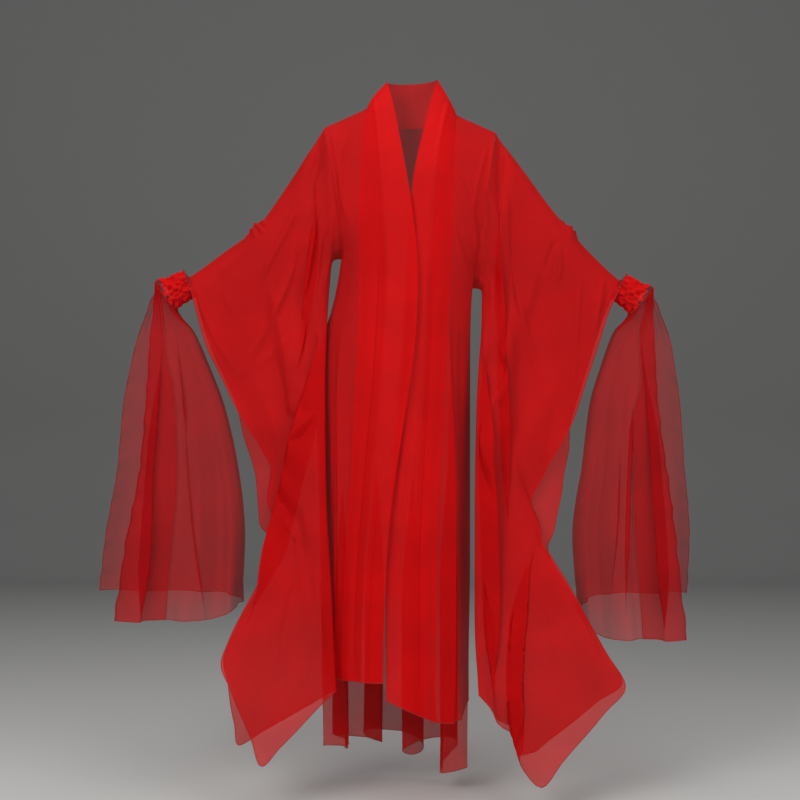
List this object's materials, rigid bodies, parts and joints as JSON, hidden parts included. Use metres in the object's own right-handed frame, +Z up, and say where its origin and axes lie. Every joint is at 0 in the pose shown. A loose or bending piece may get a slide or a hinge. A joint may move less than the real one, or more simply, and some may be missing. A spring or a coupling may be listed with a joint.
{
  "type": "hanfu robe, worn form",
  "caption": "Sheer wide-sleeve robe worn open down the front, with a long collar band, gathered wrists and hanging cuff pieces.",
  "frame": {"origin": "between the shoulders, at the height of the neck points, where the wearer holds the robe up", "axes": "+Z up, -Y the way the wearer faces, +X to the wearer's left"},
  "size_m": [1.355, 0.3125, 1.5701],
  "materials": {
    "chiffon": "soft sheer red chiffon",
    "band": "doubled red chiffon",
    "sheer": "very sheer dark red organza"
  },
  "bodies": {
    "root": {"back": "chiffon", "front_right": "chiffon", "front_left": "chiffon", "collar_right": "band", "collar_left": "band", "sleeve_right": "chiffon", "sleeve_left": "chiffon", "wrist_ruffle_right": "band", "wrist_ruffle_left": "band", "water_sleeve_right": "sheer", "water_sleeve_left": "sheer"}
  },
  "joints": []
}
